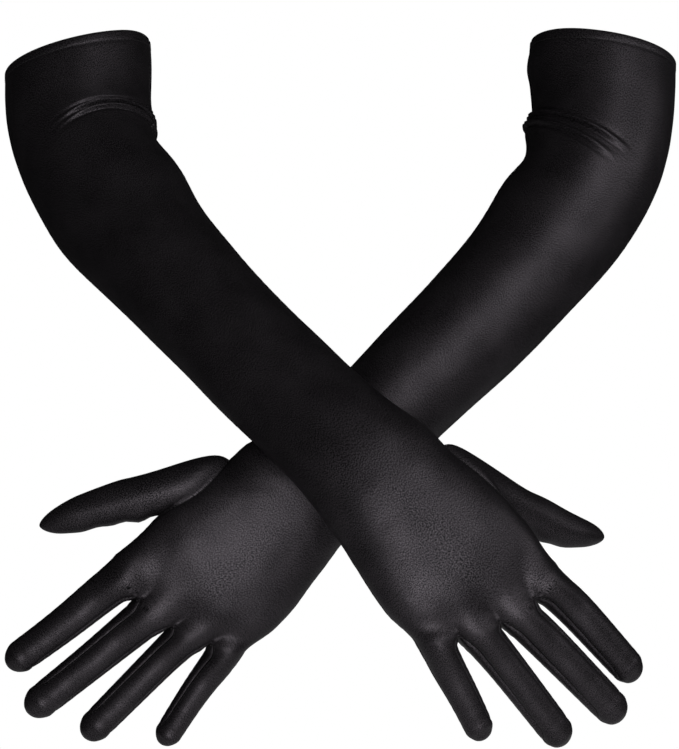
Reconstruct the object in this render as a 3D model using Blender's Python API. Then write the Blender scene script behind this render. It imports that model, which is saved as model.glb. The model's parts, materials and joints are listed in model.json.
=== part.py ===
"""A pair of elbow-length satin opera gloves as worn, the arms crossed at the wrists.

Each glove is cut and sewn from a back panel, a palm panel, a set-in thumb and three fourchettes,
the folded strips between the fingers. Thread runs along every seam, and an elastic ring lies
inside the turned hem. Metres, +Z up, the origin midway between the two arm openings, the backs
of the hands towards -Y. Both gloves come from one pattern, which follows each arm's own line.
"""

import math

import bpy
import numpy as np

# Cloth and thread.
CLOTH = 0.0010  # thickness of the stretch satin
SEAM_GAP = 0.0004  # between two pieces that are sewn together
HAND_SEAM_GAP = 0.0012  # between the panels down the sides of the hand, where they curl in tightly
THREAD_RADIUS = 0.00035
THREAD_STANDOFF = 0.0004  # from the cloth up to the thread

# The sleeve, by distance from the wrist towards the cuff: (distance, half width, half depth).
SLEEVE_GIRTH = (
    (-0.300, 0.0410, 0.0390),
    (-0.265, 0.0405, 0.0385),
    (-0.225, 0.0390, 0.0375),
    (-0.190, 0.0360, 0.0345),
    (-0.140, 0.0327, 0.0305),
    (-0.090, 0.0299, 0.0265),
    (-0.045, 0.0288, 0.0222),
    (0.000, 0.0303, 0.0185),
    (0.030, 0.0338, 0.0170),
    (0.055, 0.0378, 0.0160),
    (0.085, 0.0385, 0.0145),
    (0.100, 0.0380, 0.0135),
)
ELASTIC_TOP = 0.001  # from the cuff edge down to the elastic
ELASTIC_HEIGHT = 0.007
ELASTIC_THICKNESS = 0.0008
HEM_STITCH_DROP = 0.0048  # from the cuff edge down to the hem stitching

# The hand, in its own plane: across (+ towards the thumb) and along (from the wrist).
FINGER_ROOTS = (  # the outer side of the little finger, the three webs, the outer side of the index
    (-0.0360, 0.0810),
    (-0.0200, 0.0900),
    (-0.0020, 0.0985),
    (0.0185, 0.1020),
    (0.0400, 0.0970),
)
FINGER_NAMES = ("little", "ring", "middle", "index")
FINGER_LENGTHS = (0.0570, 0.0735, 0.0785, 0.0685)
FINGER_BASE = (0.0076, 0.0087, 0.0093, 0.0090)  # half width just past the web
FINGER_END = (0.0065, 0.0076, 0.0081, 0.0077)  # half width before the tip
BEND_RUN = 0.020  # along a finger, from the web to where it leans fully towards the palm
ROOT_DEPTH = 0.0125  # half depth of the hand at the webs
KNUCKLE_START = 0.062  # from the wrist to where the finger roots begin to show
WEB_RUN = 0.009  # along a finger, from the web to where it is round
DEPTH_RUN = 0.0225  # along a finger, from the web to where it is as deep as it is wide
TIP_ROUNDING = 1.15  # length of a fingertip's rounding, over the half width of its end

# The fourchettes fill the sides of the fingers between the two panels.
SIDE_ANGLE = math.radians(38.0)
SIDE_END_ANGLE = math.radians(11.0)
SIDE_END = 0.84  # of a finger's length
SIDE_TUCK = math.radians(8.0)  # how far the strip is narrowed at the web
WEB_SETBACK = 0.0018

# The thumb and the leaf-shaped hole that it is sewn into.
LEAF_ANGLE = math.radians(37.0)
LEAF_FIRST_ROW = 1
LEAF_LAST_ROW = 7
HOLE_RADIUS = 0.016  # from the line of the hand to the edge of the hole
THUMB_BASE = 0.0105
THUMB_END = 0.0078
THUMB_TIP_ROUNDING = 1.2
HOLE_SIDE = 0.040  # across the hand to the hole, whose edge the loft carries straight out
THUMB_SWEEP = 0.040  # how far it would carry that edge over the thumb's whole length

# Mesh density.
ARM_ROWS = 15
HAND_ROWS = 10
FINGER_COLUMNS = 3
FINGER_ROWS = (0.045, 0.11, 0.24, 0.42, 0.62, 0.84, 0.92, 0.97, 0.995)  # of a finger's length
THUMB_ROWS = (0.10, 0.22, 0.36, 0.52, 0.70, 0.84, 0.93, 0.98)

# The line of each arm from the cuff to the knuckles, and how much higher its cuff edge is on the
# thumb side and lower over the back of the arm than at mid width. Then how its hand lies: the turn
# of the hand about that line, each finger's lean towards the little finger and the fingers' bend
# towards the palm, all in degrees, and the thumb's axis as places across, along and out.
GLOVES = {
    "right": {
        "line": (
            (-0.1490, 0.000, 0.000),
            (-0.1425, -0.013, -0.050),
            (-0.1228, -0.033, -0.088),
            (-0.0784, -0.074, -0.140),
            (-0.0482, -0.098, -0.169),
            (-0.0184, -0.122, -0.196),
            (0.0080, -0.143, -0.220),
            (0.0380, -0.150, -0.2522),
            (0.0700, -0.150, -0.2902),
        ),
        "handed": 1.0,
        "cuff_slant": 0.0085,
        "cuff_dip": 0.0100,
        "roll": 12.0,
        "fan": (14.0, 0.5, -6.5, -4.0),
        "bend": 15.0,
        "thumb_root": (0.0245, 0.0350, -0.006),
        "thumb_tip": (0.0728, 0.1100, -0.040),
    },
    "left": {
        "line": (
            (0.1500, 0.000, 0.000),
            (0.1455, -0.010, -0.050),
            (0.1270, -0.020, -0.091),
            (0.0720, -0.046, -0.1545),
            (0.0440, -0.060, -0.1810),
            (0.0190, -0.072, -0.2060),
            (-0.0125, -0.082, -0.2385),
            (-0.0465, -0.090, -0.2705),
            (-0.0835, -0.097, -0.3030),
        ),
        "handed": -1.0,
        "cuff_slant": 0.0055,
        "cuff_dip": 0.0055,
        "roll": -10.0,
        "fan": (17.0, 4.0, -3.0, -5.0),
        "bend": 3.0,
        "thumb_root": (0.0365, 0.0290, 0.000),
        "thumb_tip": (0.0768, 0.1150, -0.012),
    },
}
WRIST_POINT = 6  # of each line


def clear_scene():
    for obj in list(bpy.data.objects):
        bpy.data.objects.remove(obj, do_unlink=True)


def ease(value, low, high):
    t = np.clip((value - low) / (high - low), 0.0, 1.0)
    return t * t * (3.0 - 2.0 * t)


def through(stations, values, at):
    """A smooth curve through the values at their stations, run on straight past its ends."""
    x = np.asarray(stations, float)
    y = np.asarray(values, float)
    slope = np.gradient(y, x, axis=0)
    i = int(np.clip(np.searchsorted(x, at) - 1, 0, len(x) - 2))
    width = x[i + 1] - x[i]
    t = float(np.clip((at - x[i]) / width, 0.0, 1.0))
    past = at - (x[i] + t * width)
    return (
        (2 * t**3 - 3 * t**2 + 1) * y[i]
        + (t**3 - 2 * t**2 + t) * width * slope[i]
        + (3 * t**2 - 2 * t**3) * y[i + 1]
        + (t**3 - t**2) * width * slope[i + 1]
        + past * slope[i + int(t > 0.5)]
    )


COLUMNS = FINGER_COLUMNS * len(FINGER_NAMES)
RING_SIDES = 2 * COLUMNS  # so that a ring's facets lie over the panels'


class Glove:
    """The surface of one glove, as places across and out from the line of the arm."""

    def __init__(self, side):
        shape = GLOVES[side]
        self.side = side
        self.line = np.array(shape["line"])
        steps = np.linalg.norm(np.diff(self.line, axis=0), axis=1)
        stations = np.concatenate(([0.0], np.cumsum(steps)))
        self.stations = stations - stations[WRIST_POINT]
        self.handed = shape["handed"]
        self.cuff_slant = shape["cuff_slant"]
        self.cuff_dip = shape["cuff_dip"]
        self.roll = math.radians(shape["roll"])
        self.fan = [math.radians(lean) for lean in shape["fan"]]
        self.bend = math.radians(shape["bend"])
        self.thumb_root = np.array(shape["thumb_root"])
        self.thumb_tip = np.array(shape["thumb_tip"])
        self.cuff = self.stations[0]

    def place(self, along, across, out):
        """along is measured from the wrist, across towards the thumb, out to the back of the hand."""
        step = 0.002
        centre = through(self.stations, self.line, along)
        run = through(self.stations, self.line, along + step) - through(
            self.stations, self.line, along - step
        )
        run /= np.linalg.norm(run)
        facing = np.array((0.0, -1.0, 0.0))
        facing -= facing @ run * run
        facing /= np.linalg.norm(facing)
        thumbward = np.cross(facing, run) * self.handed
        turn = self.roll * ease(along, self.cuff * 0.6, 0.02)
        outward = facing * math.cos(turn) + thumbward * math.sin(turn)
        sideways = thumbward * math.cos(turn) - facing * math.sin(turn)
        return centre + across * sideways + out * outward

    def cuff_edge(self, angle):
        return self.cuff - self.cuff_slant * math.cos(angle) + self.cuff_dip * math.sin(angle)

    def sleeve(self, along, angle, lift=0.0):
        """(across, out) on the sleeve's section; 0 is the thumb side, a quarter turn the back."""
        girth = np.array(SLEEVE_GIRTH)
        half_width, half_depth = through(girth[:, 0], girth[:, 1:], along)
        square = 2.0 / (2.0 + 0.5 * ease(along, 0.0, 0.07))
        cos, sin = math.cos(angle), math.sin(angle)
        across = (half_width + lift) * math.copysign(abs(cos) ** square, cos)
        out = (half_depth + lift) * math.copysign(abs(sin) ** square, sin)
        return across, out

    def leaf(self, row):
        """How far the thumb hole reaches round the section at one of the hand's rows."""
        place = (row - LEAF_FIRST_ROW) / (LEAF_LAST_ROW - LEAF_FIRST_ROW)
        return LEAF_ANGLE * math.sin(math.pi * min(max(place, 0.0), 1.0)) ** 0.8


def web_along(across):
    roots = np.array(FINGER_ROOTS)
    return float(through(roots[:, 0], roots[:, 1], across))


def side_angles(finger):
    """The fourchette angles on the little-finger side and on the thumb side of a finger."""
    return (
        0.0 if FINGER_NAMES[finger] == "little" else SIDE_ANGLE,
        0.0 if FINGER_NAMES[finger] == "index" else SIDE_ANGLE,
    )


def side_angle(full, part):
    """The fourchette narrows evenly towards its end and stops there."""
    if full == 0.0 or part > SIDE_END + 1e-6:
        return 0.0
    return full + (SIDE_END_ANGLE - full) * part / SIDE_END


def finger_point(glove, finger, part, angle, lift=0.0):
    """(along, across, out, drop) round a finger at a part of its length; part 0 is at the webs."""
    near, far = FINGER_ROOTS[finger], FINGER_ROOTS[finger + 1]
    root = (near[0] + far[0]) / 2
    root_half = (far[0] - near[0]) / 2
    length = FINGER_LENGTHS[finger]
    past = part * length
    open_up = math.sqrt(min(past / WEB_RUN, 1.0))
    body = FINGER_BASE[finger] + (FINGER_END[finger] - FINGER_BASE[finger]) * part
    half = root_half + (body - root_half) * open_up
    depth = ROOT_DEPTH + (body - ROOT_DEPTH) * ease(past, 0.0, DEPTH_RUN)
    cap = FINGER_END[finger] * TIP_ROUNDING
    if past > length - cap:
        shrink = math.sqrt(max(1.0 - ((past - length + cap) / cap) ** 2, 0.0))
        half, depth = half * shrink, depth * shrink
    rounded = ease(past, 0.0, WEB_RUN)
    full = side_angles(finger)[int(math.cos(angle) > 0)]
    cos = math.cos(angle) / ((1.0 - rounded) * math.cos(full) + rounded)
    across = (half + lift) * max(-1.0, min(1.0, cos))
    out = (depth + lift) * math.sin(angle)
    slant = (web_along(root + across) - web_along(root)) * (1.0 - rounded)
    fan = glove.fan[finger]
    reach = past * math.cos(glove.bend)
    along = web_along(root) + reach * math.cos(fan) + slant + across * math.sin(fan * rounded)
    sideways = root - reach * math.sin(fan) + across * math.cos(fan * rounded)
    drop = math.tan(glove.bend) * past**2 / (past + BEND_RUN)
    return along, sideways, out, drop


def panel_point(glove, finger, part, angle, face):
    """A point on the back (face 1) or palm (face -1) panel of a finger, in space."""
    along, across, out, drop = finger_point(glove, finger, part, angle)
    return glove.place(along, across, face * (out + HAND_SEAM_GAP / 2) - drop)


def seam_lift(along):
    """Half of the gap between the back and palm panels down a side seam."""
    return (SEAM_GAP + (HAND_SEAM_GAP - SEAM_GAP) * ease(along, -0.02, 0.04)) / 2


def column_angles(low_side, thumb_side):
    return np.linspace(math.pi - low_side, thumb_side, FINGER_COLUMNS + 1)


def hand_point(glove, row, column, face):
    """A point of a panel between the wrist and the webs; the finger roots rise out of the palm."""
    finger = min(column // FINGER_COLUMNS, len(FINGER_NAMES) - 1)
    step = column - finger * FINGER_COLUMNS
    angle = column_angles(*side_angles(finger))[step]
    web, across_web, out_web, _ = finger_point(glove, finger, 0.0, angle)
    part = row / HAND_ROWS
    along = web * part
    turn = math.pi + (glove.leaf(row) - math.pi) * column / COLUMNS
    across, out = glove.sleeve(along, turn)
    rise = ease(along, KNUCKLE_START, web)
    across += (across_web - across) * rise
    out += (out_web - out) * rise
    return glove.place(along, across, face * (out + seam_lift(along)))


def arm_point(glove, row, column, face):
    """A point of a panel between the cuff and the wrist."""
    turn = math.pi * (1.0 - column / COLUMNS)
    edge = glove.cuff_edge(face * turn)
    along = edge * (1.0 - row / ARM_ROWS)
    across, out = glove.sleeve(along, turn)
    return glove.place(along, across, face * (out + seam_lift(along)))


def sheet_object(name, rows_of_points, faces, material, flip, thickness=CLOTH):
    """A sheet of cloth from its outer surface, thickened inwards."""
    mesh = bpy.data.meshes.new(name)
    if flip:
        faces = [face[::-1] for face in faces]
    mesh.from_pydata([tuple(p) for p in rows_of_points], [], faces)
    mesh.materials.append(material)
    mesh.shade_smooth()
    obj = bpy.data.objects.new(name, mesh)
    bpy.context.scene.collection.objects.link(obj)
    solid = obj.modifiers.new("cloth thickness", "SOLIDIFY")
    solid.thickness = thickness
    solid.offset = -1.0
    return obj


def grid_faces(first, second):
    """Faces between two rows of vertex numbers."""
    return [
        (first[i], first[i + 1], second[i + 1], second[i]) for i in range(len(first) - 1)
    ]


def panel(glove, name, face, material):
    points, faces, rows = [], [], []

    def add(row_points):
        start = len(points)
        points.extend(row_points)
        rows.append(list(range(start, start + len(row_points))))
        return rows[-1]

    columns = range(COLUMNS + 1)
    last = None
    for row in range(ARM_ROWS):
        new = add([arm_point(glove, row, c, face) for c in columns])
        faces += grid_faces(last, new) if last else []
        last = new
    for row in range(HAND_ROWS + 1):
        new = add([hand_point(glove, row, c, face) for c in columns])
        faces += grid_faces(last, new)
        last = new
    web = last
    for finger in range(len(FINGER_NAMES)):
        last = web[finger * FINGER_COLUMNS : (finger + 1) * FINGER_COLUMNS + 1]
        sides = side_angles(finger)
        for part in FINGER_ROWS:
            angles = column_angles(*(side_angle(a, part) for a in sides))
            new = add([panel_point(glove, finger, part, a, face) for a in angles])
            faces += grid_faces(last, new)
            last = new
    return sheet_object(name, points, faces, material, face * glove.handed > 0)


def fourchette_ends(glove, finger, thumb_side, part):
    """The strip's places across one side of a finger, from the back panel to the palm panel."""
    full = side_angle(SIDE_ANGLE, part)
    near_web = 1.0 - ease(part * FINGER_LENGTHS[finger], 0.0, WEB_RUN)
    half = full - SEAM_GAP / FINGER_END[finger] - SIDE_TUCK * near_web
    across = []
    for turn in (half, 0.0, -half):
        angle = turn if thumb_side else math.pi - turn
        along, sideways, out, drop = finger_point(glove, finger, part, angle)
        across.append(glove.place(along, sideways, out - drop))
    return across


def fourchette(glove, name, lower, material):
    """The strip between two fingers: down the side of one, round the web and up the other."""
    parts = [p for p in FINGER_ROWS if p <= SIDE_END]
    strip = [fourchette_ends(glove, lower, True, p) for p in reversed(parts)]
    web_across, web = FINGER_ROOTS[lower + 1]
    half = ROOT_DEPTH * math.sin(SIDE_ANGLE - SIDE_TUCK) - SEAM_GAP
    strip.append([glove.place(web + WEB_SETBACK, web_across, o) for o in (half, 0.0, -half)])
    strip += [fourchette_ends(glove, lower + 1, False, p) for p in parts]
    points = [p for row in strip for p in row]
    rows = [[3 * i, 3 * i + 1, 3 * i + 2] for i in range(len(strip))]
    faces = [f for a, b in zip(rows, rows[1:]) for f in grid_faces(a, b)]
    return sheet_object(name, points, faces, material, glove.handed < 0)


def leaf_ring(glove, lift=0.0, inset=SEAM_GAP, end_row=LEAF_LAST_ROW - 0.25):
    """The edge of the thumb hole: up the back from the wrist end, and down the palm."""
    web = finger_point(glove, len(FINGER_NAMES) - 1, 0.0, 0.0)[0]
    ring = []

    def at(row, angle):
        along = web * row / HAND_ROWS
        across, out = glove.sleeve(along, angle, lift)
        rise = ease(along, KNUCKLE_START, web)
        across += (FINGER_ROOTS[-1][0] + lift - across) * rise
        return glove.place(along, across, out)

    def hole(row):
        return glove.leaf(row) - inset / HOLE_RADIUS

    inner = range(LEAF_FIRST_ROW + 1, LEAF_LAST_ROW)
    ring.append(at(LEAF_FIRST_ROW + 0.25, 0.0))
    ring += [at(row, hole(row)) for row in inner]
    ring.append(at(end_row, 0.0))
    ring += [at(row, -hole(row)) for row in reversed(inner)]
    return ring


def thumb(glove, name, material):
    """A tapered tube, lofted from the leaf-shaped hole to a round section and a closed tip."""
    hole = leaf_ring(glove)
    count = len(hole)
    root, tip = glove.thumb_root, glove.thumb_tip
    length = np.linalg.norm(tip - root)
    axis = (tip - root) / length
    back = np.array((0.0, 0.0, 1.0)) - axis[2] * axis
    back /= np.linalg.norm(back)
    index_side = np.cross(axis, back)
    if index_side[1] < 0:
        index_side = -index_side
    cap = THUMB_END * THUMB_TIP_ROUNDING
    points, faces = [], []
    rows = []
    for part in (0.0,) + THUMB_ROWS:
        centre = root + axis * length * part
        radius = THUMB_BASE + (THUMB_END - THUMB_BASE) * part
        past = part * length - (length - cap)
        if past > 0:
            radius *= math.sqrt(1.0 - (past / cap) ** 2)
        blend = ease(part, -0.05, 0.5) if part else 0.0
        row = []
        for i in range(count):
            turn = 2.0 * math.pi * i / count
            spot = centre + radius * (back * math.sin(turn) - index_side * math.cos(turn))
            ring = glove.place(spot[1], spot[0], spot[2])
            push = glove.place(HOLE_SIDE, THUMB_SWEEP * part, 0) - glove.place(HOLE_SIDE, 0, 0)
            row.append((hole[i] + push) * (1.0 - blend) + ring * blend)
        start = len(points)
        points += row
        rows.append(list(range(start, start + count)))
    for a, b in zip(rows, rows[1:]):
        faces += grid_faces(a + a[:1], b + b[:1])
    tip_point = len(points)
    points.append(glove.place(tip[1], tip[0], tip[2]))
    faces += [(a, b, tip_point) for a, b in zip(rows[-1], rows[-1][1:] + rows[-1][:1])]
    return sheet_object(name, points, faces, material, glove.handed < 0)


def ring_band(glove, name, material):
    """The flat elastic ring inside the turned hem."""
    points = []
    for drop in (ELASTIC_TOP, ELASTIC_TOP + ELASTIC_HEIGHT):
        for i in range(RING_SIDES):
            turn = 2.0 * math.pi * i / RING_SIDES
            along = glove.cuff_edge(turn) + drop
            across, out = glove.sleeve(along, turn, -CLOTH - 2 * SEAM_GAP)
            points.append(glove.place(along, across, out))
    top = list(range(RING_SIDES)) + [0]
    low = [RING_SIDES + i for i in range(RING_SIDES)] + [RING_SIDES]
    return sheet_object(
        name, points, grid_faces(top, low), material, glove.handed < 0, ELASTIC_THICKNESS
    )


def thread_object(name, route, cyclic, material):
    curve = bpy.data.curves.new(name, "CURVE")
    curve.dimensions = "3D"
    curve.bevel_depth = THREAD_RADIUS
    curve.bevel_resolution = 0
    curve.use_fill_caps = True
    spline = curve.splines.new("POLY")
    spline.points.add(len(route) - 1)
    for point, place in zip(spline.points, route):
        point.co = (*place, 1.0)
    spline.use_cyclic_u = cyclic
    curve.materials.append(material)
    obj = bpy.data.objects.new(name, curve)
    bpy.context.scene.collection.objects.link(obj)
    return obj


LIFT = THREAD_RADIUS + THREAD_STANDOFF


def arm_thread(glove, angle, last_row):
    """Along a side seam of the sleeve, from below the hem to a row of the hand."""
    edge = glove.cuff_edge(angle)
    stops = [edge * (1.0 - max(i, 0.5) / ARM_ROWS) for i in range(ARM_ROWS)]
    finger = 0 if math.cos(angle) < 0 else len(FINGER_NAMES) - 1
    web = finger_point(glove, finger, 0.0, angle)[0]
    stops += [web * i / HAND_ROWS for i in range(last_row + 1)]
    route = []
    for along in stops:
        across, out = glove.sleeve(along, angle, LIFT)
        root = FINGER_ROOTS[0 if finger == 0 else -1][0]
        target = root + math.copysign(LIFT, root)
        across += (target - across) * ease(along, KNUCKLE_START, web)
        route.append(glove.place(along, across, 0.0))
    return route


def finger_outer_thread(glove, finger, angle):
    route = []
    for part in (0.0,) + tuple(p for p in FINGER_ROWS if p < 0.95):
        along, across, _, drop = finger_point(glove, finger, part, angle, LIFT)
        route.append(glove.place(along, across, -drop))
    return route


def index_thread(glove):
    """From the web of the thumb along the outer side of the index finger."""
    finger = len(FINGER_NAMES) - 1
    web = finger_point(glove, finger, 0.0, 0.0)[0]
    route = []
    for row in range(LEAF_LAST_ROW + 1, HAND_ROWS):
        along = web * row / HAND_ROWS
        across, _ = glove.sleeve(along, 0.0, LIFT)
        across += (FINGER_ROOTS[-1][0] + LIFT - across) * ease(along, KNUCKLE_START, web)
        route.append(glove.place(along, across, 0.0))
    return route + finger_outer_thread(glove, finger, 0.0)


def fourchette_thread(glove, lower):
    """One loop round a fourchette: the back edges down and up, then the palm edges."""
    parts = [p for p in FINGER_ROWS if p <= SIDE_END]
    loop = []
    for face in (1, -1):
        side = []
        for finger, thumb_side, order in (
            (lower, True, parts[::-1]),
            (lower + 1, False, parts),
        ):
            if side:
                web_across, web = FINGER_ROOTS[lower + 1]
                out = ROOT_DEPTH * math.sin(SIDE_ANGLE) + LIFT + 1.5 * CLOTH
                for step in (-CLOTH, CLOTH):
                    side.append(glove.place(web + CLOTH, web_across + step, face * out))
            for part in order:
                turn = side_angle(SIDE_ANGLE, part)
                angle = turn if thumb_side else math.pi - turn
                by_web = part == parts[0]
                lift = 0.0 if by_web else LIFT
                along, across, out, drop = finger_point(glove, finger, part, angle, lift)
                out += (LIFT + CLOTH) * by_web
                side.append(glove.place(along, across, face * out - drop))
        loop += side if face > 0 else side[::-1]
        finger, angle = (lower + 1, math.pi) if face > 0 else (lower, 0.0)
        along, across, out, drop = finger_point(glove, finger, SIDE_END + 0.04, angle, LIFT)
        loop.append(glove.place(along, across, -drop))
    return loop


def hem_thread(glove):
    route = []
    for i in range(RING_SIDES):
        turn = 2.0 * math.pi * i / RING_SIDES
        along = glove.cuff_edge(turn) + HEM_STITCH_DROP
        across, out = glove.sleeve(along, turn, LIFT + SEAM_GAP / 2)
        route.append(glove.place(along, across, out))
    return route


def finish(name, colour, roughness):
    material = bpy.data.materials.new(name)
    material.use_nodes = True
    shader = material.node_tree.nodes["Principled BSDF"]
    shader.inputs["Base Color"].default_value = (*colour, 1.0)
    shader.inputs["Roughness"].default_value = roughness
    material.diffuse_color = (*colour, 1.0)
    return material


def glove_pieces(side, satin, thread, elastic):
    glove = Glove(side)
    panel(glove, f"{side}_back_panel", 1.0, satin)
    panel(glove, f"{side}_palm_panel", -1.0, satin)
    thumb(glove, f"{side}_thumb", satin)
    ring_band(glove, f"{side}_cuff_elastic", elastic)
    for lower in range(len(FINGER_NAMES) - 1):
        pair = f"{FINGER_NAMES[lower + 1]}_{FINGER_NAMES[lower]}"
        fourchette(glove, f"{side}_fourchette_{pair}", lower, satin)
        route = fourchette_thread(glove, lower)
        thread_object(f"{side}_fourchette_thread_{pair}", route, True, thread)
    outer = arm_thread(glove, math.pi, HAND_ROWS - 1) + finger_outer_thread(glove, 0, math.pi)
    thread_object(f"{side}_outer_seam_thread", outer, False, thread)
    inner = arm_thread(glove, 0.0, LEAF_FIRST_ROW - 1)
    thread_object(f"{side}_inner_seam_thread", inner, False, thread)
    thread_object(f"{side}_index_seam_thread", index_thread(glove), False, thread)
    thumb_loop = leaf_ring(glove, LIFT + 1.3 * CLOTH, -7 * SEAM_GAP, LEAF_LAST_ROW + 0.3)
    thread_object(f"{side}_thumb_seam_thread", thumb_loop, True, thread)
    thread_object(f"{side}_hem_stitching", hem_thread(glove), True, thread)


clear_scene()
black_satin = finish("black satin", (0.012, 0.011, 0.013), 0.38)
black_thread = finish("black thread", (0.020, 0.019, 0.021), 0.6)
black_elastic = finish("black elastic", (0.018, 0.018, 0.018), 0.8)
for glove_side in GLOVES:
    glove_pieces(glove_side, black_satin, black_thread, black_elastic)
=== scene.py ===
"""A pair of elbow-length black satin gloves, worn and crossed at the wrists, without the arms."""

import math

import bpy
import numpy as np
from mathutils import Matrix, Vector, noise
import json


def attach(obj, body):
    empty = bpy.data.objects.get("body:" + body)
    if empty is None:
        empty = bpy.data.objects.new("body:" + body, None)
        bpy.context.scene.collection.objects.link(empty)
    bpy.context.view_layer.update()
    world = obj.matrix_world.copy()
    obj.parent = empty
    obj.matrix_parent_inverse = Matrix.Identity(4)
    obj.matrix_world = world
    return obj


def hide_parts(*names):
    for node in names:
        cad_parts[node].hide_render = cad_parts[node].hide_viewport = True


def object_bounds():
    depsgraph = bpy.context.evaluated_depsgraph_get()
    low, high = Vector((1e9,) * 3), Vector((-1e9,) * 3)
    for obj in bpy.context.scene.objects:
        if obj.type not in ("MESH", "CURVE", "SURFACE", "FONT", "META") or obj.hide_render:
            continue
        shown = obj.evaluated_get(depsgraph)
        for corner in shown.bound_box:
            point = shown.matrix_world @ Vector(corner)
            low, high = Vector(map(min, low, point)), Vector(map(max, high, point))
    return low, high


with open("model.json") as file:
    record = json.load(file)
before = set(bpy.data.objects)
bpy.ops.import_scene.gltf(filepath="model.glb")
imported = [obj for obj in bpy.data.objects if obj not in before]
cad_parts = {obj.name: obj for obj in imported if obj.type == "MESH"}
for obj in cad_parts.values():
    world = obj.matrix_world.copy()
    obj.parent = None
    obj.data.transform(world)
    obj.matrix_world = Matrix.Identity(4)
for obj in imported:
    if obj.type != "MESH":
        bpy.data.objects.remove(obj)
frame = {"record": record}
cad_bounds = [[float(x) for x in corner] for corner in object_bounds()]

# BACK PANELS
# Each back panel is one piece of stretch satin from the cuff to the four fingertips. It is pulled
# smooth over the forearm, creases at the inside of the elbow, and dips between the knuckles.

SATIN_THICKNESS = 0.0006
FINGER_NAMES = ("little", "ring", "middle", "index")
# Across the hand (+ towards the thumb) and along it from the wrist: the outer side of the little
# finger, the three webs and the outer side of the index finger.
FINGER_ROOTS = (
    (-0.0360, 0.0810),
    (-0.0200, 0.0900),
    (-0.0020, 0.0985),
    (0.0185, 0.1020),
    (0.0400, 0.0970),
)
FINGER_LENGTHS = (0.0570, 0.0735, 0.0785, 0.0685)
FINGER_BASE = (0.0080, 0.0091, 0.0097, 0.0094)
FINGER_END = (0.0067, 0.0078, 0.0083, 0.0079)
FINGER_CAP = 1.15
ROOT_DEPTH = 0.0125
HAND_HALF = 0.038
KNUCKLE_START = 0.062
KNUCKLE_BEHIND_WEB = 0.016
WEB_RUN = 0.009
BEND_RUN = 0.020
SIDE_ANGLE = math.radians(44.0)
SIDE_END_ANGLE = math.radians(34.0)
SIDE_END = 0.84
SIDE_POINT = 0.93
LEAF_ROWS = (2.4, 7.1)
HAND_PARTS = 10.0
# (distance from the wrist, half width, half depth) of the sleeve.
SLEEVE_GIRTH = np.array(
    (
        (-0.300, 0.0410, 0.0390),
        (-0.265, 0.0405, 0.0385),
        (-0.225, 0.0390, 0.0375),
        (-0.190, 0.0360, 0.0345),
        (-0.140, 0.0327, 0.0305),
        (-0.090, 0.0299, 0.0265),
        (-0.045, 0.0288, 0.0222),
        (0.000, 0.0303, 0.0185),
        (0.030, 0.0338, 0.0170),
        (0.055, 0.0378, 0.0160),
        (0.085, 0.0385, 0.0145),
        (0.100, 0.0380, 0.0135),
    )
)
WRIST_POINT = 6
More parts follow.
